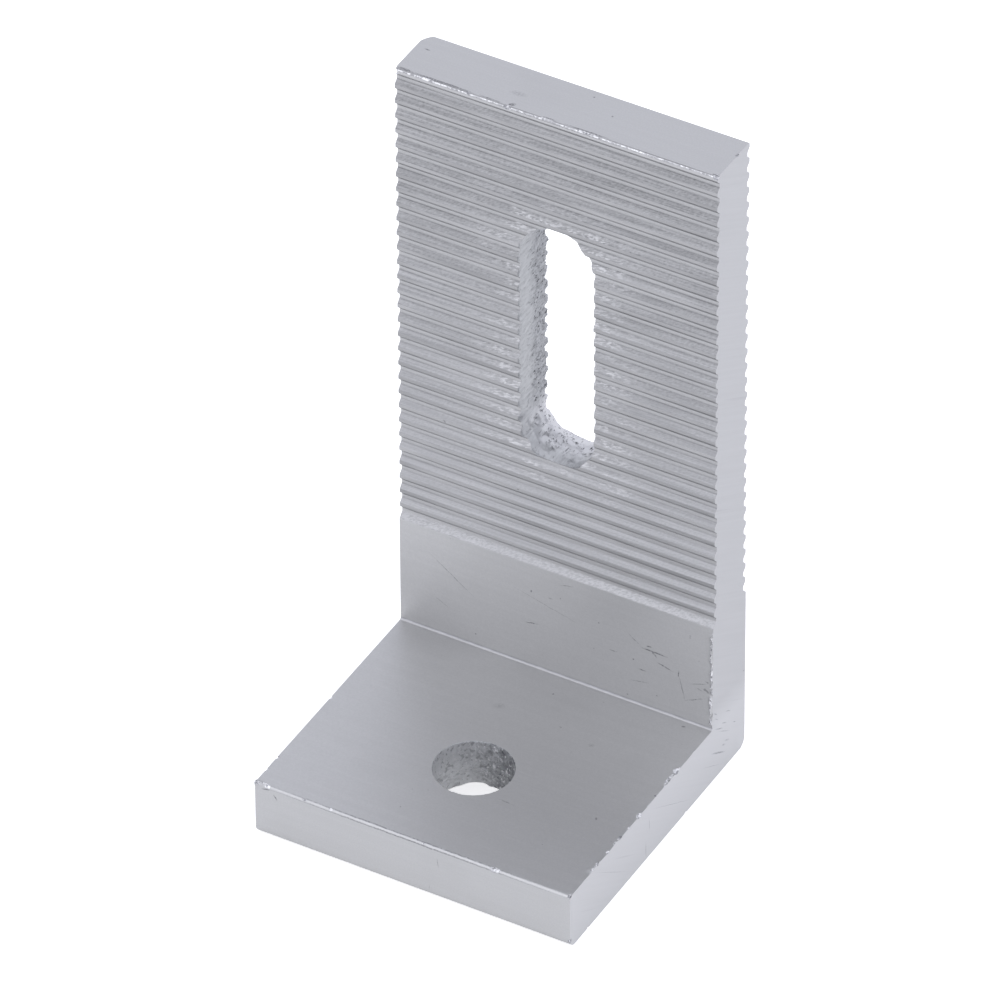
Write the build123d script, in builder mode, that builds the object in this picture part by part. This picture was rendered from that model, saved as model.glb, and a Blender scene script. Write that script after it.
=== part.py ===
"""Solar L-foot bracket: one sawn length of serrated aluminium L-extrusion.

Millimetres, +Z up. X runs along the extrusion, the upright leg stands at +Y and
the base leg reaches to -Y. The origin is the middle of the base's footprint.
"""
import os

from build123d import *

# Section of the extrusion
LENGTH = 40.0
BASE_REACH = 40.0
HEIGHT = 85.0
THICKNESS = 7.5
FOOT_RADIUS = 1.2
TOE_RADIUS = 0.4
INNER_RADIUS = 0.3
TOP_RADIUS = 0.3

# Serrations on both faces of the upright, recessed a little below its plain faces
RIB_PITCH = 2.02
RIB_DEPTH = 0.5
RIB_RECESS = 0.13
CREST_RADIUS = 0.22
ROOT_RADIUS = 0.12
TOP_CREST_DROP = 0.4
PLAIN_HEIGHT = 21.5

# Slot punched through the upright from its inner face
SLOT_LENGTH = 32.5
SLOT_WIDTH = 9.4
SLOT_HEIGHT = 53.6
SLOT_LAND = 3.6
SLOT_BREAK_ANGLE = 7.0

# Hole punched down through the base
HOLE_DIAMETER = 9.2
HOLE_FROM_TOE = 13.9
HOLE_LAND = 3.0
HOLE_BREAK_ANGLE = 14.0

# Bevel that the punch draws into the rim it enters by
ROLL_OVER = 0.2
ROLL_ANGLE = 45.0

rear = BASE_REACH / 2
toe = -BASE_REACH / 2
inner = rear - THICKNESS
groove_count = int((HEIGHT - TOP_CREST_DROP - PLAIN_HEIGHT) / RIB_PITCH)
top_crest = HEIGHT - TOP_CREST_DROP
plain_top = top_crest - groove_count * RIB_PITCH
# Crest, flank, root and flank share the pitch equally
quarter = RIB_PITCH / 4
mouth = quarter / 2 + quarter * (RIB_RECESS + RIB_DEPTH) / RIB_DEPTH


def serrations(face, outward):
    """Draw one serrated face upward from its plain strip; outward is the sign of its normal along Y."""
    crest = face - outward * RIB_RECESS
    root = crest - outward * RIB_DEPTH
    for groove in range(groove_count):
        centre = plain_top + (groove + 0.5) * RIB_PITCH
        entry = [(crest, centre - 2 * quarter), (crest, centre - 1.5 * quarter)]
        if groove == 0:
            entry = [(face, centre - 2 * quarter), (face, centre - mouth)]
        FilletPolyline(
            *entry,
            (root, centre - quarter / 2),
            (root, centre + quarter / 2),
            (crest, centre + 1.5 * quarter),
            (crest, centre + 2 * quarter),
            radius=[CREST_RADIUS, ROOT_RADIUS, ROOT_RADIUS, CREST_RADIUS],
        )


with BuildPart() as bracket:
    # L-section, drawn looking along the extrusion
    with BuildSketch(Plane.YZ):
        with BuildLine():
            FilletPolyline(
                (inner, plain_top),
                (inner, THICKNESS),
                (toe, THICKNESS),
                (toe, 0),
                (rear, 0),
                (rear, plain_top),
                radius=[INNER_RADIUS, TOE_RADIUS, FOOT_RADIUS, FOOT_RADIUS],
            )
            serrations(rear, 1)
            serrations(inner, -1)
            FilletPolyline(
                (inner + RIB_RECESS, top_crest),
                (inner + RIB_RECESS, HEIGHT),
                (rear - RIB_RECESS, HEIGHT),
                (rear - RIB_RECESS, top_crest),
                radius=TOP_RADIUS,
            )
        make_face()
    extrude(amount=LENGTH / 2, both=True)

    # Slot: rolled-in front rim, sheared land, then the break-out toward the rear
    slot_entry = Plane(origin=(0, inner + RIB_RECESS, SLOT_HEIGHT), x_dir=(1, 0, 0), z_dir=(0, 1, 0))
    with BuildSketch(slot_entry):
        SlotOverall(SLOT_LENGTH + 2 * ROLL_OVER, SLOT_WIDTH + 2 * ROLL_OVER, rotation=90)
    extrude(amount=ROLL_OVER, taper=ROLL_ANGLE, mode=Mode.SUBTRACT)
    with BuildSketch(slot_entry) as slot_outline:
        SlotOverall(SLOT_LENGTH, SLOT_WIDTH, rotation=90)
    extrude(amount=THICKNESS, mode=Mode.SUBTRACT)
    with BuildSketch(slot_entry.offset(SLOT_LAND)):
        add(slot_outline.sketch_local)
    extrude(amount=THICKNESS - SLOT_LAND, taper=-SLOT_BREAK_ANGLE, mode=Mode.SUBTRACT)

    # Hole: the same three zones, punched downward
    hole_entry = Plane(origin=(0, toe + HOLE_FROM_TOE, THICKNESS), z_dir=(0, 0, -1))
    with BuildSketch(hole_entry):
        Circle(HOLE_DIAMETER / 2 + ROLL_OVER)
    extrude(amount=ROLL_OVER, taper=ROLL_ANGLE, mode=Mode.SUBTRACT)
    with BuildSketch(hole_entry) as hole_outline:
        Circle(HOLE_DIAMETER / 2)
    extrude(amount=THICKNESS, mode=Mode.SUBTRACT)
    with BuildSketch(hole_entry.offset(HOLE_LAND)):
        add(hole_outline.sketch_local)
    extrude(amount=THICKNESS - HOLE_LAND, taper=-HOLE_BREAK_ANGLE, mode=Mode.SUBTRACT)

bracket.part.label = "bracket"
os.makedirs("parts", exist_ok=True)
export_step(bracket.part, "parts/bracket.step")
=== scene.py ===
import math

import bmesh
import bpy
from mathutils import Matrix, Vector, noise


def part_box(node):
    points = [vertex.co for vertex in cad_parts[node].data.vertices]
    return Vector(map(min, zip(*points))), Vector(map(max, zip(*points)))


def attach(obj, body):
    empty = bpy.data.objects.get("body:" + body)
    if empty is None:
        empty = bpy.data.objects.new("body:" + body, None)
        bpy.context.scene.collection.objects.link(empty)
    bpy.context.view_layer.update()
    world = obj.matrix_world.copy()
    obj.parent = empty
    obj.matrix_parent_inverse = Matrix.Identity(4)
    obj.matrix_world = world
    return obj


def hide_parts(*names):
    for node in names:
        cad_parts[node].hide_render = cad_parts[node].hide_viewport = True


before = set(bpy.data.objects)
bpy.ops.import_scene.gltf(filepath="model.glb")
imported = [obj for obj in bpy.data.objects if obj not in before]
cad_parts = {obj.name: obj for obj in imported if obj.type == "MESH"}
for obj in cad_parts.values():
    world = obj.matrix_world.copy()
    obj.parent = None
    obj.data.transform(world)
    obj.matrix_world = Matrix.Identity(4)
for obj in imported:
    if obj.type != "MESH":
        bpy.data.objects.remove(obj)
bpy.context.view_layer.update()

# ---------------------------------------------------------------------------
# Extruded bracket
# One length of mill-finish aluminium L, drawn through a die that serrates both faces
# of the upright, and sawn off at both ends. The saw leaves torn lips where it runs out.

MM = 0.001
low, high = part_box("bracket")
TOE, REAR = low.y / MM, high.y / MM
LEFT_END, RIGHT_END = low.x / MM, high.x / MM
TOP = high.z / MM
WALL = 7.5
INNER = REAR - WALL
PLAIN_TOP = 21.5
RIB_RECESS = 0.13
RIB_PITCH = 2.02
FIRST_CREST = 24.0
SECTION_STEP = 0.22
# The inner corner is filled this far along both faces
CORNER_FILL = 0.3
# Points this close to a plane are on it, and points closer still are one point
ON_PLANE, SAME_POINT = 0.02, 0.0001
# Rings of extra edges at these distances from each sawn end, for the worn corners
END_CUTS = (0.1, 0.22, 0.38, 0.6, 0.9, 1.3, 1.9, 2.7)

blank = bmesh.new()
blank.from_mesh(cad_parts["bracket"].data)
bmesh.ops.remove_doubles(blank, verts=blank.verts, dist=SAME_POINT * MM)
bmesh.ops.scale(blank, verts=blank.verts, vec=(1 / MM, 1 / MM, 1 / MM))

# The sawn end carries the whole section, so the blank is drawn out again from it
CAP_DEPTH = 0.001
end_plane = RIGHT_END - CAP_DEPTH
behind = [f for f in blank.faces if min(v.co.x for v in f.verts) < end_plane]
bmesh.ops.delete(blank, geom=behind, context="FACES")
bmesh.ops.dissolve_faces(blank, faces=blank.faces[:])
for edge in blank.edges[:]:
    pieces = int(edge.calc_length() / SECTION_STEP)
    if pieces > 1:
        bmesh.ops.subdivide_edges(blank, edges=[edge], cuts=pieces - 1)
drawn = bmesh.ops.extrude_face_region(blank, geom=blank.faces[:], use_keep_orig=True)
far_end = [g for g in drawn["geom"] if isinstance(g, bmesh.types.BMVert)]
bmesh.ops.translate(blank, verts=far_end, vec=(LEFT_END - RIGHT_END, 0, 0))
for inset in END_CUTS:
    for x in (RIGHT_END - inset, LEFT_END + inset):
        bmesh.ops.bisect_plane(
            blank,
            geom=blank.verts[:] + blank.edges[:] + blank.faces[:],
            plane_co=(x, 0, 0),
            plane_no=(1, 0, 0),
        )
bmesh.ops.recalc_face_normals(blank, faces=blank.faces[:])


def worn_corner(y_face, radius, reach):
    """Round the upright's top corner at the left end, less and less along the edge."""
    y_way = 1 if y_face < REAR - WALL / 2 else -1
    for vert in blank.verts:
        fade = 1 - (vert.co.x - LEFT_END) / reach
        if fade <= 0:
            continue
        r = radius * fade ** 2
        centre = Vector((y_face + y_way * r, TOP - r))
        away = Vector((vert.co.y, vert.co.z)) - centre
        outside = away.x * y_way < 0 and away.y > 0
        if outside and away.length > r:
            away.length = r
            vert.co.y, vert.co.z = centre + away


worn_corner(REAR - RIB_RECESS, radius=1.8, reach=1.45)
worn_corner(INNER + RIB_RECESS, radius=0.8, reach=1.3)


def layered(place, fall_off, step, layers):
    """Noise in layers, each finer than the last by step and fainter by the fall-off."""
    return noise.fractal(place, fall_off, step, layers)


def ragged(place, scale, bias):
    """Uneven height from 0 up, for a torn lip. More bias leaves fewer gaps in it."""
    return max(0.0, layered(place * scale, fall_off=0.7, step=2.2, layers=4) + bias)


# Torn lips: along the plain strip's right edge, weaker along the base's right edge,
# and curled over the toe's left corner
STRIP_LIP, BASE_LIP, LEFT_LIP = 0.5, 0.3, 0.45
LIP_CREST, LIP_HALF_WIDTH = 0.1, 0.4
LEFT_LIP_RUN, LEFT_LIP_LEAN, LEFT_LIP_LIMIT = 2.7, 0.5, 0.8
# The strip's lip is torn most below this height, and above it has this share
STRONG_LIP_TOP, UPPER_SHARE = 14, 0.6
# The base's lip stays clear of the toe's rounded edge, and the toe's lip has this depth
TOE_EDGE, TOE_DEPTH = 0.4, 0.5
# The tearing is finer across the edge than along it, and differs from lip to lip
FINER_ACROSS, STRIP_PATTERN, BASE_PATTERN = 1.5, 3.0, 7.0
# Where a lip stands up more than this, its metal is freshly torn
STRIP_TORN, BASE_TORN, TOE_TORN, BASE_TORN_WIDTH = 0.04, 0.15, 0.1, 0.3
torn_at = set()
for vert in blank.verts:
    x, y, z = vert.co
    inset = RIGHT_END - x
    from_left = x - LEFT_END
    on_strip = abs(y - INNER) < ON_PLANE and WALL + CORNER_FILL < z < PLAIN_TOP
    on_base = abs(z - WALL) < ON_PLANE and TOE + TOE_EDGE < y < INNER - CORNER_FILL
    on_toe = y < TOE + TOE_DEPTH and z > WALL - TOE_DEPTH
    narrowing = 1.0 - abs(inset - LIP_CREST) / LIP_HALF_WIDTH
    if on_strip and narrowing > 0:
        share = 1.0 if z < STRONG_LIP_TOP else UPPER_SHARE
        place = Vector((inset * FINER_ACROSS, z, STRIP_PATTERN))
        rise = share * ragged(place, scale=1.8, bias=0.3)
        vert.co.y -= STRIP_LIP * rise * narrowing
        if rise > STRIP_TORN:
            torn_at.add(vert)
    if on_base and narrowing > 0:
        place = Vector((inset * FINER_ACROSS, y, BASE_PATTERN))
        rise = ragged(place, scale=0.8, bias=-0.12)
        vert.co.z += BASE_LIP * rise * narrowing
        if rise > BASE_TORN and inset < BASE_TORN_WIDTH:
            torn_at.add(vert)
    if on_toe and from_left < LEFT_LIP_RUN:
        fading = 1 - from_left / LEFT_LIP_RUN
        rise = ragged(Vector((x * 1.3, y, z)), scale=1.6, bias=0.15) * fading
        vert.co.z += LEFT_LIP * rise
        vert.co.y -= LEFT_LIP_LEAN * LEFT_LIP * min(rise, LEFT_LIP_LIMIT)
        if rise > TOE_TORN:
            torn_at.add(vert)


def linear(hex_colour):
    """An sRGB hex colour as the linear RGBA a shader socket takes."""
    parts = [int(hex_colour[i : i + 2], 16) / 255 for i in (1, 3, 5)]
    return [p / 12.92 if p <= 0.04045 else ((p + 0.055) / 1.055) ** 2.4 for p in parts] + [1.0]


def node(tree, kind, *inputs, out=0, **named):
    """Add one node. Inputs fill its sockets in order, named ones in capitals by name, and
    the rest are its properties. Each is a link, a value or a hex colour. Returns one of
    its outputs, or nothing for the node that ends the tree."""
    made = tree.nodes.new("ShaderNode" + kind)
    fill = dict(enumerate(inputs))
    for key, value in named.items():
        if key[0].isupper():
            fill[key.replace("_", " ")] = value
        else:
            setattr(made, key, value)
    for socket, value in fill.items():
        if isinstance(value, bpy.types.NodeSocket):
            tree.links.new(value, made.inputs[socket])
        elif isinstance(value, str):
            made.inputs[socket].default_value = linear(value)
        else:
            made.inputs[socket].default_value = value
    return made.outputs[out] if made.outputs else None


def grain(tree, size, turn=(0, 0, 0), detail=3.0, rough=0.55):
    """Noise on the piece, its features as long as size, in mm, along each turned axis."""
    place = node(tree, "TexCoord", out="Object")
    scale = [s * MM for s in size]
    local = node(tree, "Mapping", place, Rotation=turn, Scale=scale, vector_type="TEXTURE")
    return node(tree, "TexNoise", local, Scale=1.0, Detail=detail, Roughness=rough)


# How far a mark reaches into the metal, and how long the bends in its outline are
MARK_DEPTH, BEND_LENGTH = 0.6, 0.8


def marks(tree, rows, face, wobble=0.2):
    """Scratches, specks, darker areas and painted shade, 0 to 1. A row is a thin ellipsoid on the
    face: its place, half length and half width in mm, its angle in degrees, and its strength."""
    place = node(tree, "TexCoord", out="Object")
    cloud = node(tree, "TexNoise", place, Scale=1 / (BEND_LENGTH * MM), Detail=2.0, out="Color")
    centred = node(tree, "VectorMath", cloud, (0.5, 0.5, 0.5), operation="SUBTRACT")
    shift = node(tree, "VectorMath", centred, Scale=wobble * MM, operation="SCALE")
    bent = node(tree, "VectorMath", place, shift, operation="ADD")
    total = None
    for x, y, z, length, width, angle, strength in rows:
        turn = math.radians(angle)
        rotation, size = {
            "upright": ((0, -turn, 0), (length, MARK_DEPTH, width)),
            "end": ((turn, 0, 0), (MARK_DEPTH, length, width)),
            "flat": ((0, 0, turn), (length, width, MARK_DEPTH)),
        }[face]
        local = node(
            tree, "Mapping", bent, (x * MM, y * MM, z * MM), rotation, [s * MM for s in size],
            vector_type="TEXTURE",
        )
        ball = node(tree, "TexGradient", local, gradient_type="SPHERICAL", out="Fac")
        spot = node(tree, "Math", ball, strength, operation="MULTIPLY")
        total = spot if total is None else node(tree, "Math", total, spot, operation="MAXIMUM")
    return node(tree, "MapRange", total, 0.0, 0.5)


finishes = []


def metal(name, paint):
    """Add a metal drawn by paint, which gives its colour, its roughness and its bumps,
    each a pattern and a height in mm. Returns its place in the list of finishes."""
    material = bpy.data.materials.new(name)
    material.use_nodes = True
    tree = material.node_tree
    tree.nodes.clear()
    colour, roughness, bumps = paint(tree)
    normal = node(tree, "NewGeometry", out="Normal")
    for pattern, depth in bumps:
        normal = node(tree, "Bump", Distance=depth * MM, Height=pattern, Normal=normal)
    shader = node(tree, "BsdfPrincipled", colour, 1.0, roughness, Normal=normal)
    node(tree, "OutputMaterial", Surface=shader)
    finishes.append(material)
    return len(finishes) - 1


# Dark lines that repeat with the ribs, most of them painted shade: height above a crest, half
# width and darkness.
# The crest's own line comes twice, since it straddles the start of the step.
RIB_SHADE_LINES = (
    (0.0, 0.2, 0.28),  # darker crest
    (RIB_PITCH, 0.2, 0.28),
    (0.77, 0.06, 0.22),  # painted shade where the flank meets the valley
    (1.01, 0.2, 0.08),  # painted shade on the floor of the valley
    (1.5, 0.29, 0.46),  # painted shade under the next crest
)
RIB_LINE_EDGE = 0.07
# The lines start and stop over this height
LINES_FADE = 0.1


def painted_rib_shade(tree):
    """Darkness that keeps step with the ribs: painted shade, heaviest under each crest, and a
    darker band on each crest.
    """
    spot = node(tree, "TexCoord", out="Object")
    height = node(tree, "SeparateXYZ", spot, out="Z")
    raised = node(tree, "Math", height, FIRST_CREST * MM, operation="SUBTRACT")
    steps = node(tree, "Math", raised, RIB_PITCH * MM, operation="DIVIDE")
    phase = node(tree, "Math", steps, operation="FRACT")
    total = 0.0
    for above, half, dark in RIB_SHADE_LINES:
        off = node(tree, "Math", phase, above / RIB_PITCH, operation="SUBTRACT")
        off = node(tree, "Math", off, operation="ABSOLUTE")
        full, gone = half / RIB_PITCH, (half + RIB_LINE_EDGE) / RIB_PITCH
        line = node(tree, "MapRange", off, full, gone, dark, 0.0)
        total = node(tree, "Math", total, line, operation="MAXIMUM")
    uneven = node(tree, "MapRange", grain(tree, (14, 1.3, 1.3), detail=3.0), 0.3, 0.7, 0.4, 1.45)
    total = node(tree, "Math", total, uneven, operation="MULTIPLY")
    start, stop = FIRST_CREST - 1.05, TOP - 0.5
    above_strip = node(tree, "MapRange", height, start * MM, (start + LINES_FADE) * MM)
    below_top = node(tree, "MapRange", height, stop * MM, (stop - LINES_FADE) * MM)
    total = node(tree, "Math", total, above_strip, operation="MULTIPLY")
    return node(tree, "Math", total, below_top, operation="MULTIPLY")


STRIP_MARKS_AND_EDGE_SHADE = (
    (-13.3, INNER, 16.5, 4.0, 0.07, -36, 0.55),
    (-14.7, INNER, 12.1, 1.3, 0.06, -27, 0.4),
    (-1.3, INNER, 17.0, 5.0, 0.06, -14, 0.4),
    (-3.0, INNER, 13.7, 1.0, 0.08, 10, 0.9),
    (-3.1, INNER, 18.3, 0.2, 0.12, 80, 0.9),
    (1.4, INNER, 20.8, 1.1, 0.08, 14, 0.5),
    (-0.7, INNER, 18.2, 0.4, 0.12, 0, 0.5),
    (10.0, INNER, 16.6, 1.2, 0.07, -38, 0.6),
    (12.6, INNER, 15.75, 1.9, 0.14, -3, 1.0),
    (11.9, INNER, 16.3, 0.35, 0.12, 10, 1.0),
    (12.5, INNER, 15.5, 0.6, 0.13, -42, 1.0),
    (13.9, INNER, 14.2, 1.2, 0.12, -16, 1.0),
    (15.65, INNER, 13.9, 0.6, 0.1, 90, 0.9),
    (16.1, INNER, 12.0, 1.9, 0.07, -77, 0.7),
    (17.7, INNER, 11.0, 1.7, 0.07, 26, 0.6),
    (11.0, INNER, 12.6, 0.6, 0.1, -3, 0.8),
    (10.7, INNER, 10.8, 1.4, 0.07, 11, 0.6),
    (9.9, INNER, 13.7, 0.14, 0.12, 0, 0.9),
    (9.1, INNER, 8.3, 0.14, 0.12, 0, 0.9),
    (12.9, INNER, 9.6, 0.14, 0.12, 0, 0.8),
    (7.4, INNER, 13.9, 0.6, 0.1, 3, 0.7),
    (5.5, INNER, 17.2, 0.14, 0.12, 0, 0.7),
    (18.3, INNER, 13.5, 1.4, 0.07, 22, 0.6),
    (18.3, INNER, 12.7, 0.4, 0.1, -18, 0.6),
    (-10.3, INNER, 9.2, 0.14, 0.12, 0, 0.9),
    # Painted shade: two long dark lines, below the toe's rounded top edge and below the upright's
    # rounded top edge
    (0.0, TOE, 7.2, 22.0, 0.11, 0, 0.6),
    (0.0, INNER + RIB_RECESS, TOP - 0.27, 22.0, 0.1, 0, 0.4),
    (3.3, TOE, 5.4, 0.9, 0.07, 100, 0.35),
    (2.2, TOE, 1.5, 0.6, 0.07, 80, 0.25),
    (-17.4, TOE, 6.3, 0.5, 0.13, -60, 0.8),
    (-18.6, TOE, 7.0, 0.7, 0.12, 12, 0.8),
)
# Broad, faint areas that are a little darker than the rest
STRIP_DARK_AREAS = ((-20.0, INNER, 13.0, 9.0, 9.0, 0, 0.09),)
FLAT_MARKS_AND_EDGE_SHADE = (
    (1.4, 9.3, WALL, 0.16, 0.14, 0, 1.0),
    (16.9, 11.5, WALL, 0.3, 0.16, 16, 1.0),
    (-2.8, 4.6, WALL, 0.9, 0.6, 30, 0.16),
    (9.4, 3.6, WALL, 0.5, 0.4, 30, 0.2),
    (6.0, -9.4, WALL, 1.2, 0.12, -4, 0.35),
    # Painted shade: a long dark line beside the toe's rounded top edge
    (0.0, -19.71, WALL, 22.0, 0.11, 0, 0.6),
    (-18.6, 17.3, TOP, 0.5, 0.14, -8, 0.6),
    (1.5, 18.6, TOP, 0.16, 0.14, 0, 0.9),
    (4.9, 16.6, TOP, 0.2, 0.2, 0, 0.5),
    (-6.0, 15.2, TOP, 1.2, 0.5, 3, 0.2),
    (-18.9, 13.0, TOP, 1.2, 0.25, 0, 1.0),
    (-14.5, 12.95, TOP, 4.6, 0.2, 0, 1.0),
    (-8.2, 12.95, TOP, 1.6, 0.13, 0, 0.8),
    (-5.7, 13.1, TOP, 0.6, 0.3, 40, 1.0),
    (-0.9, 12.95, TOP, 1.1, 0.1, 0, 0.8),
    (3.9, 12.95, TOP, 3.2, 0.12, 0, 0.9),
    (19.8, 12.95, TOP, 0.7, 0.2, 2, 0.9),
)
# Painted shade near the inner corner, where the base mirrors the upright
BASE_CORNER_SHADE = (
    (-13.0, 12.5, WALL, 14.0, 7.0, 0, 0.1),
    (3.0, 9.0, WALL, 26.0, 14.0, 0, 0.1),
)


def mill_finish(tree):
    """Aluminium as it leaves the die: an even silver satin that blurs what it mirrors,
    with hair lines along the length, fine grit, dark specks and a few scratches, and
    painted shade along the ribs, beside the rounded edges and by the inner corner."""
    lines = grain(tree, (40, 0.45, 0.45), detail=4.0)
    # The grit is a few hundredths of a millimetre and is drawn at 0.2 to show at all
    grit = grain(tree, (0.2, 0.2, 0.2), detail=2.0)
    cloudy = node(tree, "MapRange", grain(tree, (7, 7, 7), detail=2.0), 0.55, 0.75, 0.0, 0.15)
    specks = node(tree, "MapRange", grain(tree, (1.1, 1.1, 1.1), detail=2.0), 0.76, 0.8, 0.0, 0.5)
    colour = node(tree, "MixRGB", lines, "#c6c6c6", "#cfcfcf")
    gritty = node(tree, "MapRange", grit, 0.35, 0.65, 0.0, 0.5)
    colour = node(tree, "MixRGB", gritty, colour, "#c5c5c5")
    colour = node(tree, "MixRGB", cloudy, colour, "#bcbcbc")
    # Painted shade in step with the ribs
    colour = node(tree, "MixRGB", painted_rib_shade(tree), colour, "#4c4c4f")
    # Scratches and specks, with the painted shade lines along the rounded edges
    worn = node(
        tree, "Math", marks(tree, STRIP_MARKS_AND_EDGE_SHADE, "upright"), marks(tree, FLAT_MARKS_AND_EDGE_SHADE, "flat"),
        operation="MAXIMUM",
    )
    broken = node(tree, "MapRange", grit, 0.3, 0.6, 0.15, 0.8)
    worn = node(tree, "Math", worn, broken, operation="MULTIPLY")
    worn = node(tree, "Math", specks, worn, operation="MAXIMUM")
    # Broad darker areas: on the strip, and painted shade on the base by the inner corner
    dark_areas = node(
        tree, "Math", marks(tree, STRIP_DARK_AREAS, "upright"), marks(tree, BASE_CORNER_SHADE, "flat"),
        operation="MAXIMUM",
    )
    colour = node(tree, "MixRGB", dark_areas, colour, "#66666a")
    colour = node(tree, "MixRGB", worn, colour, "#66666a")
    rough = node(tree, "MapRange", grit, 0.3, 0.7, 0.40, 0.47)
    return colour, rough, [(lines, 0.0012), (grit, 0.005)]


SAW_ANGLE = -31
END_MARKS = (
    (RIGHT_END, 14.0, 6.6, 1.3, 0.1, SAW_ANGLE, 0.6),
    (RIGHT_END, 13.9, 3.2, 2.1, 0.14, SAW_ANGLE, 0.65),
    (RIGHT_END, 12.3, 2.4, 2.6, 0.06, -30, 0.35),
    (RIGHT_END, 3.1, 3.7, 5.8, 0.05, -30.5, 0.35),
    (RIGHT_END, -10.5, 4.0, 5.0, 0.05, -36, 0.28),
    (RIGHT_END, -2.0, 4.6, 1.2, 0.08, -85, 0.4),
    (RIGHT_END, -2.8, 1.4, 1.3, 0.09, -89, 0.5),
    (RIGHT_END, 13.2, 9.3, 0.6, 0.1, -45, 0.5),
    (RIGHT_END, 16.1, 7.7, 0.8, 0.09, -34, 0.5),
    (RIGHT_END, 13.4, 8.4, 0.7, 0.08, -40, 0.4),
    (RIGHT_END, 17.6, 5.0, 0.5, 0.08, -30, 0.5),
    (RIGHT_END, 15.2, 6.6, 0.8, 0.09, -32, 0.55),
    (RIGHT_END, 15.2, 5.4, 1.8, 0.07, -34, 0.4),
    (RIGHT_END, 15.9, 3.6, 0.8, 0.16, -30, 0.35),
    (RIGHT_END, 15.1, 3.5, 0.6, 0.16, -30, 0.35),
    (RIGHT_END, 19.7, 10.9, 0.3, 0.1, -28, 0.55),
)


def sawn_end(tree):
    """Aluminium under a fine circular saw: brighter and flatter than the mill finish, with
    faint kerf lines that slope down toward the heel and a few darker drag marks."""
    across = (math.radians(SAW_ANGLE), 0, 0)
    kerf = grain(tree, (3.3, 20, 0.4), turn=across, detail=4.0)
    # Drawn coarse to show, as on the mill finish
    grit = grain(tree, (0.2, 0.2, 0.2), detail=2.0)
    kerf_tone = node(tree, "MapRange", kerf, 0.3, 0.7)
    colour = node(tree, "MixRGB", kerf_tone, "#cacacb", "#d0d0d1")
    height = node(tree, "SeparateXYZ", node(tree, "TexCoord", out="Object"), out="Z")
    # Painted light: the end of the base leg is made lighter than the end of the upright, against
    # the shaded floor that it mirrors
    lighter = node(tree, "MapRange", height, (WALL + 3) * MM, (WALL - 0.5) * MM, 0.0, 0.32)
    colour = node(tree, "MixRGB", lighter, colour, "#f0f0f1")
    lone = grain(tree, (3.3, 25, 0.65), turn=across, detail=2.0)
    lone = node(tree, "MapRange", lone, 0.7, 0.78, 0.0, 0.25)
    worn = node(tree, "Math", lone, marks(tree, END_MARKS, "end", 0.15), operation="MAXIMUM")
    broken = node(tree, "MapRange", grit, 0.3, 0.6, 0.2, 0.85)
    worn = node(tree, "Math", worn, broken, operation="MULTIPLY")
    colour = node(tree, "MixRGB", worn, colour, "#85858b")
    rough = node(tree, "MapRange", kerf, 0.3, 0.7, 0.40, 0.46)
    return colour, rough, [(kerf, 0.006), (grit, 0.006)]


SLOT_HEIGHT = 53.6
HATCH_ANGLE = 35
# The flanks grow lighter downward between these heights
DULL_FROM, LIGHT_BY = 72, 30
# Rubbed metal beside the slot fades out between these distances from the slot's middle
RUBBED_ASIDE, RUBBED_ALONG = (6, 12), (17, 21)


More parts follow.
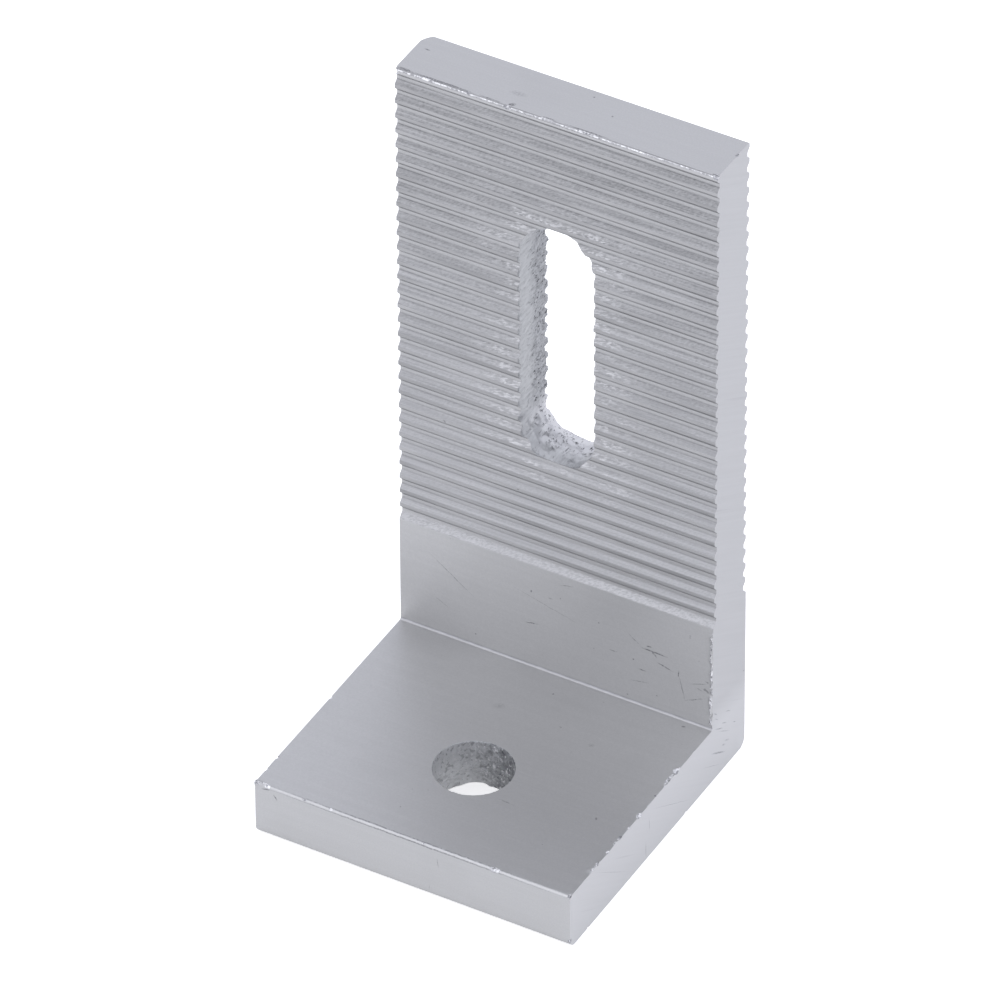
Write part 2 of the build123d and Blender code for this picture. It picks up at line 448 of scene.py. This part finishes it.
def die_torn_shaded_flank(tree):
    """Rib flanks that dragged on the die: duller than the lands, partly as painted shade,
    streaked along the length and hatched with short slanting tears, which handling has
    rubbed bright by the slot."""
    slanting = (0, math.radians(-HATCH_ANGLE), 0)
    place = node(tree, "TexCoord", out="Object")
    sideways = node(tree, "SeparateXYZ", place, out="X")
    height = node(tree, "SeparateXYZ", place, out="Z")
    streaks = grain(tree, (22, 0.31, 0.31), detail=4.0, rough=0.65)
    tears = grain(tree, (0.9, 0.18, 0.18), turn=slanting)
    tone = node(tree, "Math", streaks, tears, operation="ADD")
    tone = node(tree, "MapRange", tone, 0.76, 1.24)
    # The flanks' darker colour is partly painted shade, set against the lamp that also lights
    # these upward faces
    colour = node(tree, "MixRGB", tone, "#8b8b8c", "#bbbbbc")
    patches = node(tree, "MapRange", grain(tree, (14, 3.8, 3.8)), 0.55, 0.72, 0.0, 0.35)
    colour = node(tree, "MixRGB", patches, colour, "#88888a")
    lighter = node(tree, "MapRange", height, DULL_FROM * MM, LIGHT_BY * MM, 0.0, 0.4)
    colour = node(tree, "MixRGB", lighter, colour, "#cacacc")
    # Painted glints make the first ramp above the plain strip the lightest
    ramp_stop = FIRST_CREST - 0.9
    on_ramp = node(tree, "MapRange", height, ramp_stop * MM, (ramp_stop - 0.1) * MM)
    painted_glints = node(tree, "MapRange", tears, 0.4, 0.6, 0.05, 0.38)
    painted_glints = node(tree, "Math", painted_glints, on_ramp, operation="MULTIPLY")
    colour = node(tree, "MixRGB", painted_glints, colour, "#dadadb")
    # Painted shade in step with the ribs
    colour = node(tree, "MixRGB", painted_rib_shade(tree), colour, "#4c4c4f")
    from_middle = node(tree, "Math", sideways, operation="ABSOLUTE")
    full, gone = RUBBED_ASIDE
    beside = node(tree, "MapRange", from_middle, full * MM, gone * MM, 1.0, 0.0)
    from_slot = node(tree, "Math", height, SLOT_HEIGHT * MM, operation="SUBTRACT")
    from_slot = node(tree, "Math", from_slot, operation="ABSOLUTE")
    full, gone = RUBBED_ALONG
    along_slot = node(tree, "MapRange", from_slot, full * MM, gone * MM, 1.0, 0.0)
    strokes = grain(tree, (0.8, 0.2, 0.2), turn=(0, math.radians(-HATCH_ANGLE / 2), 0))
    ragged_patch = node(tree, "MapRange", grain(tree, (5, 1.2, 1.2)), 0.38, 0.6, 0.1, 1.0)
    rubbed = node(tree, "MapRange", strokes, 0.46, 0.6, 0.0, 0.85)
    rubbed = node(tree, "Math", rubbed, beside, operation="MULTIPLY")
    rubbed = node(tree, "Math", rubbed, along_slot, operation="MULTIPLY")
    rubbed = node(tree, "Math", rubbed, ragged_patch, operation="MULTIPLY")
    colour = node(tree, "MixRGB", rubbed, colour, "#d8d8d9")
    rough = node(tree, "MapRange", tears, 0.3, 0.7, 0.46, 0.6)
    return colour, rough, [(streaks, 0.020), (tears, 0.030)]


def fresh_tear_and_highlight(tree):
    """Newly torn aluminium on saw burrs and in nicks, and a painted highlight along the rounded
    top edge: crumpled, and brighter than the rest, with painted light and shade in the crumples."""
    crumple = grain(tree, (0.29, 0.29, 0.29))
    # The light and dark of the crumples is partly painted highlight and painted shade
    tone = node(tree, "MapRange", crumple, 0.38, 0.58)
    colour = node(tree, "MixRGB", tone, "#9c9c9f", "#f4f4f5")
    # The painted highlight along the long top edge is dulled again in patches
    height = node(tree, "SeparateXYZ", node(tree, "TexCoord", out="Object"), out="Z")
    top_edge = node(tree, "MapRange", height, (TOP - 1.0) * MM, (TOP - 0.9) * MM)
    dulled = node(tree, "MapRange", grain(tree, (1.1, 1.1, 1.1)), 0.4, 0.52, 0.7, 0.0)
    dulled = node(tree, "Math", dulled, top_edge, operation="MULTIPLY")
    colour = node(tree, "MixRGB", dulled, colour, "#b2b2b5")
    rough = node(tree, "MapRange", crumple, 0.3, 0.7, 0.3, 0.45)
    return colour, rough, [(crumple, 0.040)]


def corner_shade(tree):
    """Painted shade in the inner corner, seen as a thin dull line."""
    corner_noise = grain(tree, (1.4, 0.4, 0.4))
    tone = node(tree, "MapRange", corner_noise, 0.35, 0.65)
    colour = node(tree, "MixRGB", tone, "#aeaeb0", "#c4c4c6")
    rough = node(tree, "MapRange", corner_noise, 0.3, 0.7, 0.5, 0.6)
    return colour, rough, [(corner_noise, 0.005)]


MILL = metal("mill_finish_aluminium", mill_finish)
SAWN = metal("sawn_aluminium", sawn_end)
DIE_TORN_SHADED = metal("die_torn_shaded_aluminium", die_torn_shaded_flank)
FRESH_AND_HIGHLIGHT = metal("fresh_torn_and_highlight_aluminium", fresh_tear_and_highlight)
SHADED_CORNER = metal("shaded_corner_aluminium", corner_shade)

# The first ramp starts a little below the top of the plain strip
RAMP_OVERLAP = 0.2
# The upright's rounded top edge lies within this depth and height of its inner corner
BROW_DEPTH, BROW_HEIGHT = 0.6, 0.4
# How squarely a face points up, or out at an end, for each finish
BROW_LEAST, BROW_MOST, FLANK_LEAST, LEVEL_LEAST, END_LEAST = 0.3, 0.75, 0.3, 0.95, 0.9
for face in blank.faces:
    face.smooth = True
    middle = face.calc_center_median()
    ribbed = middle.z > PLAIN_TOP - RAMP_OVERLAP and abs(face.normal.z) < LEVEL_LEAST
    corner_high = WALL < middle.z < WALL + CORNER_FILL
    in_corner = corner_high and INNER - CORNER_FILL < middle.y < INNER
    on_brow = middle.y < INNER + BROW_DEPTH and middle.z > TOP - BROW_HEIGHT
    # Only the middle facet of the rounded top edge takes the bright finish, as a painted
    # highlight
    painted_edge_highlight = on_brow and BROW_LEAST < face.normal.z < BROW_MOST
    if abs(face.normal.x) > END_LEAST:
        face.material_index = SAWN
    elif painted_edge_highlight or all(v in torn_at for v in face.verts):
        face.material_index = FRESH_AND_HIGHLIGHT
    # The fill of the inner corner takes the painted corner shade
    elif in_corner and abs(face.normal.y) > abs(face.normal.z):
        face.material_index = SHADED_CORNER
    # Upward rib flanks take the die-torn finish, whose darker colour is partly painted shade
    elif ribbed and face.normal.z > FLANK_LEAST:
        face.material_index = DIE_TORN_SHADED
    else:
        face.material_index = MILL

# ---------------------------------------------------------------------------
# Punched slot and hole
# A punch drives out the slot from the inner face and the hole from the base's upper
# face. It shears a smooth land first, then the metal tears and breaks out wider.

SLOT_LENGTH, SLOT_WIDTH = 32.5, 9.4
HOLE_WIDTH, HOLE_FROM_TOE = 9.2, 13.9
LAND_END = 3.3
PLUG_STEP = 0.15
MARGIN = 1.2


def punch_plug(length, width, depth, wear):
    """Solid the shape of the opening, its axis along -Z from the entry face at z = 0."""
    radius = width / 2
    half_run = (length - width) / 2
    around = 2 * int(math.pi * radius / PLUG_STEP / 2) + 2
    plug = bmesh.new()
    ring = bmesh.ops.create_circle(plug, segments=around, radius=radius)["verts"]
    turn = Matrix.Rotation(math.pi / around, 3, "Z")
    bmesh.ops.rotate(plug, verts=ring, cent=(0, 0, 0), matrix=turn)
    for vert in ring:
        vert.co.y += math.copysign(half_run, vert.co.y)
    for edge in plug.edges[:]:
        cuts = int(edge.calc_length() / PLUG_STEP) - 1
        if cuts > 1:
            bmesh.ops.subdivide_edges(plug, edges=[edge], cuts=cuts)
    bmesh.ops.translate(plug, verts=plug.verts[:], vec=(0, 0, MARGIN))
    bmesh.ops.contextual_create(plug, geom=plug.edges[:])
    rim = plug.edges[:]
    rows = int((depth + 2 * MARGIN) / PLUG_STEP)
    for _ in range(rows):
        grown = bmesh.ops.extrude_edge_only(plug, edges=rim)["geom"]
        below = [g for g in grown if isinstance(g, bmesh.types.BMVert)]
        rim = [g for g in grown if isinstance(g, bmesh.types.BMEdge)]
        bmesh.ops.translate(plug, verts=below, vec=(0, 0, -(depth + 2 * MARGIN) / rows))
    bmesh.ops.contextual_create(plug, geom=rim)
    for vert in plug.verts:
        run = max(-half_run, min(half_run, vert.co.y))
        out = Vector((vert.co.x, vert.co.y - run, 0)).normalized()
        vert.co += out * wear(out, vert.co.copy(), -vert.co.z)
    bmesh.ops.recalc_face_normals(plug, faces=plug.faces[:])
    return plug


def smooth_step(start, end, value):
    """0 before start, 1 after end, eased between."""
    t = max(0.0, min(1.0, (value - start) / (end - start)))
    return t * t * (3 - 2 * t)


# Keeps one chip's tilt apart from the next one's, and the steps between chips
TILT_SCATTER, CHIP_STEP = 7.3, 0.5


def facet(place, size):
    """Flat tilted chips of about this size, as torn metal shows."""
    chip_middle = noise.voronoi(place / size)[1][0]
    tilt = noise.cell_vector(chip_middle * TILT_SCATTER) - Vector((0.5, 0.5, 0.5))
    return (place / size - chip_middle).dot(tilt) + CHIP_STEP * tilt.x


def drawn_out(place, depth, across, down):
    """Noise that the punch has drawn out: finer round the wall than down it, per mm."""
    return noise.noise(Vector((place.x * across, place.y * across, depth * down)))


# How far the wall has turned toward an end where that end's wear starts and is full, and
# the top end's share of it
END_STARTS, END_FULL, TOP_SHARE = 0.15, 0.6, 0.8
# Shifts that give the deep pits and the waves patterns of their own
OTHER_PATTERN, WAVE_DEPTH = 9, 4.0


def rolled_edge(depth, width, reach):
    """How far the entry edge is pulled in at this depth: by width at first, 0 from reach."""
    return width * max(0.0, 1 - max(depth, 0.0) / reach) ** 2


def slot_wear(out, place, depth):
    """How far the slot's wall stands back from the clean outline, in mm. Each kind of wear
    is a size, times a step between the depths where it sets in and where it is full."""
    # The plug's +Y end is the slot's top once it is stood up
    top_end = smooth_step(END_STARTS, END_FULL, out.y)
    foot_end = smooth_step(END_STARTS, END_FULL, -out.y)
    ends = max(foot_end, TOP_SHARE * top_end)
    roll = rolled_edge(depth, width=0.09, reach=0.25)
    rim = 0.07 * drawn_out(place, depth, across=1.6, down=0.8)
    drag = 0.02 * drawn_out(place, depth, across=5.0, down=0.7)
    torn = smooth_step(2.6, 4.2, depth + 0.9 * noise.noise(place * 0.6))
    side_flare = 0.35 * smooth_step(3.2, 7.2, depth)
    end_flare = 0.15 * smooth_step(1.8, 4.0, depth) + 0.55 * max(0.0, depth - 4.9)
    stretched = Vector((place.x * 2.6, place.y * 2.6, depth * 1.4))
    pits = 0.15 * torn * layered(stretched, fall_off=0.6, step=2.1, layers=4)
    deep_pits = drawn_out(place, depth + OTHER_PATTERN, across=3.1, down=1.0) - 0.35
    pits += 0.5 * torn * max(0.0, deep_pits)
    before_band = 1 - smooth_step(4.6, 5.2, depth)
    chips = 0.7 * facet(place, 1.5) * smooth_step(1.0, 2.2, depth) * before_band * foot_end
    flutes = drawn_out(place, depth, across=3.2, down=0.2)
    flutes *= 0.07 * smooth_step(5.0, 5.6, depth)
    waves = drawn_out(place, WAVE_DEPTH, across=0.7, down=1.0)
    waves *= 0.15 * smooth_step(4.5, 7.0, depth)
    band = foot_end * smooth_step(4.8, 5.4, depth)
    return (
        roll + rim + drag + waves + chips
        + pits * (1 - 0.8 * band)
        + side_flare * (1 - ends)
        + ends * (end_flare + flutes)
    )


# The way the break-out points, and how far to each side the point spreads
POINT_ANGLE, POINT_SPREAD = 120, 50


def hole_wear(out, place, depth):
    """The same for the round hole, which breaks out to a point toward the heel."""
    torn = smooth_step(2.0, 4.0, depth + 0.8 * noise.noise(place * 0.7))
    roll = rolled_edge(depth, width=0.06, reach=0.15)
    stretched = Vector((place.x * 2.5, place.y * 2.5, depth * 0.9))
    drag = 0.04 * layered(stretched, fall_off=0.7, step=2.1, layers=3)
    pits = 0.16 * torn * layered(place * 1.6, fall_off=0.6, step=2.1, layers=4)
    flare = 0.75 * smooth_step(2.5, 7.5, depth)
    turn = math.radians(POINT_ANGLE)
    from_point = math.degrees(out.angle(Vector((math.cos(turn), math.sin(turn), 0))))
    point = 1.1 * smooth_step(3.0, 7.5, depth) * max(0.0, 1 - from_point / POINT_SPREAD)
    return roll + drag + pits + flare + point


def slot_wall(tree):
    """Sheared aluminium: a burnished land, then duller torn metal, both streaked and pitted
    along the punch's travel, with painted shade in the pits, and bright flakes at the foot
    where it broke out last."""
    place = node(tree, "TexCoord", out="Object")
    depth = node(tree, "SeparateXYZ", place, out="Y")
    height = node(tree, "SeparateXYZ", place, out="Z")
    uneven = node(tree, "MapRange", grain(tree, (1.7, 4, 1.7)), 0.3, 0.7, -0.9 * MM, 0.9 * MM)
    depth = node(tree, "Math", depth, uneven, operation="ADD")
    land_stop = INNER + LAND_END
    torn = node(tree, "MapRange", depth, (land_stop - 1.2) * MM, (land_stop + 1.0) * MM)
    # Shear streaks are hair fine and are drawn at 0.3 to show
    streaks = grain(tree, (0.3, 1.5, 0.3), detail=4.0, rough=0.6)
    streak_tone = node(tree, "MapRange", streaks, 0.35, 0.65)
    land = node(tree, "MixRGB", streak_tone, "#bfc0c1", "#cccdce")
    broken = node(tree, "MixRGB", streak_tone, "#acadaf", "#cccdcf")
    foot = SLOT_HEIGHT - SLOT_LENGTH / 2
    at_foot = node(tree, "MapRange", height, (foot + 4.7) * MM, (foot + 2.7) * MM)
    broken = node(tree, "MixRGB", at_foot, broken, "#e2e2e4")
    colour = node(tree, "MixRGB", torn, land, broken)
    # Painted shade in the pits, heavier in the torn part
    pits = grain(tree, (0.25, 0.8, 0.25), detail=2.0)
    pits = node(tree, "MapRange", pits, 0.59, 0.65)
    pit_shade = node(tree, "MapRange", torn, 0.0, 1.0, 0.12, 0.8)
    pit_shade = node(tree, "Math", pits, pit_shade, operation="MULTIPLY")
    colour = node(tree, "MixRGB", pit_shade, colour, "#505155")
    rough = node(tree, "MapRange", torn, 0.0, 1.0, 0.42, 0.52)
    return colour, rough, [(streaks, 0.020), (pits, -0.030)]


def hole_wall(tree):
    """Torn aluminium all the way down: mottled dull and dark, with small bright smears,
    painted light on the left and painted shade on the right, and painted shade in crevices."""
    sideways = node(tree, "SeparateXYZ", node(tree, "TexCoord", out="Object"), out="X")
    half = HOLE_WIDTH / 2
    mottle = grain(tree, (0.8, 0.8, 0.9), detail=5.0, rough=0.7)
    smears = grain(tree, (0.4, 0.4, 0.5), detail=4.0, rough=0.7)
    smears = node(tree, "MapRange", smears, 0.55, 0.62)
    tone = node(tree, "MapRange", mottle, 0.38, 0.62)
    colour = node(tree, "MixRGB", tone, "#8d8e92", "#d8d9db")
    # Painted light on the wall's left, painted shade on its right
    lighter = node(tree, "MapRange", sideways, 0.0, -half * MM, 0.0, 0.9)
    colour = node(tree, "MixRGB", lighter, colour, "#f4f5f6")
    darker = node(tree, "MapRange", sideways, 0.0, half * MM, 0.0, 0.65)
    colour = node(tree, "MixRGB", darker, colour, "#66676a")
    colour = node(tree, "MixRGB", smears, colour, "#f4f4f5")
    # Dark patches painted as the shade in crevices
    crevices = grain(tree, (0.5, 0.5, 0.6), detail=4.0)
    crevices = node(tree, "MapRange", crevices, 0.44, 0.38, 0.0, 0.35)
    colour = node(tree, "MixRGB", crevices, colour, "#505155")
    rough = node(tree, "MapRange", mottle, 0.3, 0.7, 0.42, 0.6)
    return colour, rough, [(mottle, 0.15), (smears, 0.05)]


SLOT = metal("punched_slot_aluminium", slot_wall)
HOLE = metal("punched_hole_aluminium", hole_wall)

# The slot's plug is stood up with its axis along +Y, the hole's points straight down
slot_plug = punch_plug(SLOT_LENGTH, SLOT_WIDTH, WALL - 2 * RIB_RECESS, slot_wear)
entry = Matrix.Translation((0, INNER + RIB_RECESS, SLOT_HEIGHT))
stood_up = entry @ Matrix.Rotation(math.radians(90), 4, "X")
bmesh.ops.transform(slot_plug, matrix=stood_up, verts=slot_plug.verts[:])
hole_plug = punch_plug(HOLE_WIDTH, HOLE_WIDTH, WALL, hole_wear)
bmesh.ops.translate(hole_plug, verts=hole_plug.verts[:], vec=(0, TOE + HOLE_FROM_TOE, WALL))

# ---------------------------------------------------------------------------
# Nicks
# Small dents and torn flakes along the edges, from the saw and from brackets knocking
# together in the box. They are cut from the blank, and show freshly torn metal.

# A place and three half sizes. The top edge, the base's edges, then the underside's
NICKS = (
    (-5.95, INNER + 0.1, TOP - 0.07, 0.55, 0.36, 0.36),
    (-16.2, INNER + 0.1, TOP - 0.1, 1.9, 0.22, 0.16),
    (-10.9, INNER + 0.25, TOP - 0.05, 0.35, 0.14, 0.12),
    (-1.0, INNER + 0.25, TOP - 0.05, 0.9, 0.12, 0.1),
    (3.9, INNER + 0.25, TOP - 0.05, 1.4, 0.12, 0.09),
    (RIGHT_END - 0.15, INNER + 0.25, TOP - 0.1, 0.5, 0.4, 0.35),
    (RIGHT_END - 0.05, 17.15, TOP - 0.05, 0.2, 0.3, 0.2),
    (LEFT_END + 0.1, INNER + 0.4, TOP - 0.6, 0.4, 0.6, 0.4),
    (10.5, TOE + 0.07, WALL - 0.08, 0.6, 0.4, 0.4),
    (-10.35, TOE + 0.05, WALL - 0.05, 0.3, 0.25, 0.2),
    (-13.7, TOE + 0.1, WALL - 0.05, 0.3, 0.15, 0.15),
    (1.4, TOE + 0.05, WALL - 0.05, 0.2, 0.15, 0.12),
    (LEFT_END + 0.1, -17.5, WALL - 0.05, 0.15, 0.35, 0.12),
    (LEFT_END + 0.1, -15.1, WALL - 0.05, 0.15, 0.3, 0.12),
    (LEFT_END + 0.05, -3.3, WALL - 0.05, 0.2, 0.3, 0.12),
    (RIGHT_END - 0.15, 2.6, WALL, 0.25, 1.2, 0.14),
    (RIGHT_END - 0.05, 4.3, WALL, 0.4, 0.5, 0.3),
    (RIGHT_END - 0.1, -0.4, WALL, 0.15, 0.2, 0.12),
    (RIGHT_END - 0.05, -4.3, WALL, 0.35, 0.6, 0.32),
    (RIGHT_END - 0.05, -6.6, WALL, 0.15, 0.2, 0.15),
    (RIGHT_END - 0.1, -8.6, WALL, 0.18, 0.4, 0.18),
    (RIGHT_END - 0.1, -11.4, WALL, 0.18, 0.25, 0.15),
    (RIGHT_END - 0.1, -13.7, WALL, 0.2, 0.25, 0.16),
    (RIGHT_END - 0.15, TOE + 0.2, WALL - 0.1, 0.25, 0.25, 0.25),
    (RIGHT_END - 0.1, TOE + 0.1, 1.1, 0.22, 0.25, 0.3),
    (RIGHT_END, 6.4, 0.0, 0.2, 0.3, 0.2),
    (RIGHT_END, -16.0, 0.0, 0.2, 0.2, 0.2),
    (0.7, TOE, 0.3, 0.3, 0.15, 0.15),
)
CHIP_UNEVEN, CHIP_LUMPS = 0.45, 1.3
nicks = bmesh.new()
for x, y, z, *half in NICKS:
    chip = bmesh.ops.create_icosphere(nicks, subdivisions=2, radius=1)["verts"]
    for vert in chip:
        vert.co *= 1 + CHIP_UNEVEN * noise.noise(vert.co * CHIP_LUMPS + Vector((x, y, z)))
    bmesh.ops.scale(nicks, verts=chip, vec=half)
    bmesh.ops.translate(nicks, verts=chip, vec=(x, y, z))

# ---------------------------------------------------------------------------
# Finished bracket
# The punched openings and the nicks are taken out of the blank, which leaves one piece
# of aluminium that carries the finish of each of them.


def as_object(name, shape, finish=None):
    """Put a finished bmesh, in millimetres, into the scene in metres."""
    for face in shape.faces:
        face.smooth = True
        if finish is not None:
            face.material_index = finish
    bmesh.ops.scale(shape, verts=shape.verts, vec=(MM, MM, MM))
    mesh = bpy.data.meshes.new(name)
    shape.to_mesh(mesh)
    shape.free()
    for material in finishes:
        mesh.materials.append(material)
    piece = bpy.data.objects.new(name, mesh)
    bpy.context.scene.collection.objects.link(piece)
    return piece


body = as_object("bracket_body", blank)
cutters = [
    as_object("slot_plug", slot_plug, SLOT),
    as_object("hole_plug", hole_plug, HOLE),
    as_object("nick_chips", nicks, FRESH_AND_HIGHLIGHT),
]
for cutter in cutters:
    cut = body.modifiers.new(cutter.name, "BOOLEAN")
    cut.operation = "DIFFERENCE"
    cut.solver = "EXACT"
    cut.object = cutter
    cut.material_mode = "INDEX"
bpy.context.view_layer.update()
evaluated = body.evaluated_get(bpy.context.evaluated_depsgraph_get())
finished = bpy.data.meshes.new_from_object(evaluated)
body.modifiers.clear()
body.data = finished
for cutter in cutters:
    bpy.data.objects.remove(cutter)

# Edges that turn more than this stay crisp, and so do all edges where the metal was cut
SHARP = math.radians(32)
shape = bmesh.new()
shape.from_mesh(finished)
for edge in shape.edges:
    cut_edge = len({f.material_index in (SLOT, HOLE, SAWN) for f in edge.link_faces}) > 1
    edge.smooth = not cut_edge and edge.calc_face_angle(0.0) < SHARP
for face in shape.faces:
    face.smooth = True
shape.to_mesh(finished)
shape.free()
weigh = body.modifiers.new("weighted_normals", "WEIGHTED_NORMAL")
weigh.keep_sharp = True

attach(body, "root")
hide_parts("bracket")

# ---------------------------------------------------------------------------
# Floor and light
# White card under the bracket, in an evenly lit white tent that is a touch stronger
# from the front left.

CARD_HALF = 3.0
floor_shape = bmesh.new()
bmesh.ops.create_grid(floor_shape, x_segments=1, y_segments=1, size=CARD_HALF)
floor_mesh = bpy.data.meshes.new("floor")
floor_shape.to_mesh(floor_mesh)
floor_shape.free()
floor = bpy.data.objects.new("floor", floor_mesh)
bpy.context.scene.collection.objects.link(floor)

# The card is lifted to white for the camera, and less in what the metal mirrors
SEEN_LIFT, MIRRORED_LIFT = 0.62, 0.22
card = bpy.data.materials.new("white_card")
card.use_nodes = True
tree = card.node_tree
tree.nodes.clear()
seen = node(tree, "LightPath", out="Is Camera Ray")
mirrored = node(tree, "LightPath", out="Is Glossy Ray")
seen_lift = node(tree, "Math", seen, SEEN_LIFT, operation="MULTIPLY")
mirrored_lift = node(tree, "Math", mirrored, MIRRORED_LIFT, operation="MULTIPLY")
lift = node(tree, "Math", seen_lift, mirrored_lift, operation="ADD")
glow = node(tree, "Emission", "#ffffff", lift)
sheet = node(tree, "BsdfDiffuse", "#eaeaea")
both = node(tree, "AddShader", sheet, glow)
node(tree, "OutputMaterial", Surface=both)
floor.data.materials.append(card)

world = bpy.data.worlds.new("tent")
bpy.context.scene.world = world
world.use_nodes = True
tree = world.node_tree
tree.nodes.clear()
sky = node(tree, "Background", "#f3f5ff", 0.97)
node(tree, "OutputWorld", Surface=sky)

BOX_SIDE, BOX_WATTS = 0.8, 1.2
BOX_PLACE, BOX_AIM = Vector((-0.35, -0.6, 0.62)), Vector((0, 0, 0.03))
lamp = bpy.data.lights.new("front_left_box", "AREA")
lamp.size = BOX_SIDE
lamp.energy = BOX_WATTS
box = bpy.data.objects.new("front_left_box", lamp)
box.location = BOX_PLACE
box.rotation_euler = (BOX_AIM - BOX_PLACE).to_track_quat("-Z", "Y").to_euler()
bpy.context.scene.collection.objects.link(box)

# ---------------------------------------------------------------------------
# Camera
# Looks down on the inner corner from the front right, from well back with a long lens,
# so that edges that run the same way stay nearly parallel.

AZIMUTH, ELEVATION, ROLL = math.radians(29.70), math.radians(39.10), math.radians(-0.35)
DISTANCE, ASIDE, ALOFT = 1.38627, 0.0099712, -0.0211688
LENS, SENSOR, NEAREST = 442.8, 36.0, 0.05
level = math.cos(ELEVATION)
back = Vector((math.sin(AZIMUTH) * level, -math.cos(AZIMUTH) * level, math.sin(ELEVATION)))
right = Vector((math.cos(AZIMUTH), math.sin(AZIMUTH), 0))
up = back.cross(right)
right, up = (
    right * math.cos(ROLL) + up * math.sin(ROLL),
    up * math.cos(ROLL) - right * math.sin(ROLL),
)
eye = bpy.data.cameras.new("camera")
eye.lens = LENS
eye.sensor_width = SENSOR
eye.clip_start = NEAREST
camera = bpy.data.objects.new("camera", eye)
facing = Matrix((right, up, back)).transposed().to_4x4()
stand = Vector((0, high.y, 0)) - right * ASIDE - up * ALOFT + back * DISTANCE
camera.matrix_world = Matrix.Translation(stand) @ facing
bpy.context.scene.collection.objects.link(camera)
bpy.context.scene.camera = camera
bpy.context.scene.view_settings.view_transform = "Standard"
